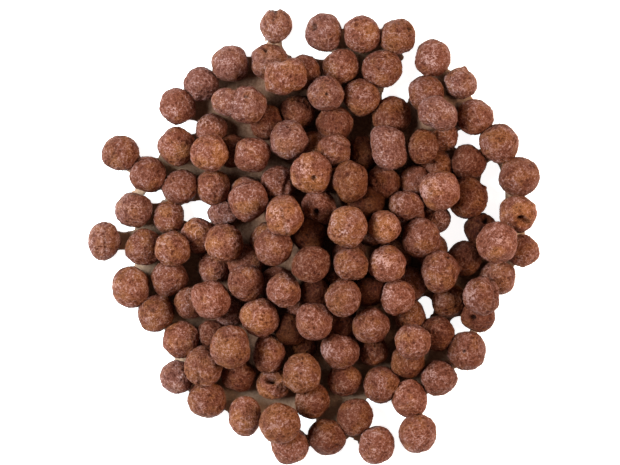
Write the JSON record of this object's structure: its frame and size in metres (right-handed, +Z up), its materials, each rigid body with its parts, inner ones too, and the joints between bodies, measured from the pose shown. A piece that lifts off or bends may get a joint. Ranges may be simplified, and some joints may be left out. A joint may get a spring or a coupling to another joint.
{
  "type": "heap of chocolate cereal balls",
  "caption": "Loose round heap of puffed chocolate cereal balls, one layer deep at its uneven edge and a few deep in the middle, lying on a flat surface.",
  "frame": {"origin": "on the surface that the heap lies on, under the middle of its outline", "axes": "+Z up, +Y towards the back, which is the top of the heap seen from above, +X to the right"},
  "size_m": [0.1328, 0.1348, 0.0308],
  "materials": {
    "cocoa_puff": "matte, finely grained and dusty, with small dark pits"
  },
  "bodies": {
    "root": {"cereal_heap": "cocoa_puff"}
  },
  "joints": []
}
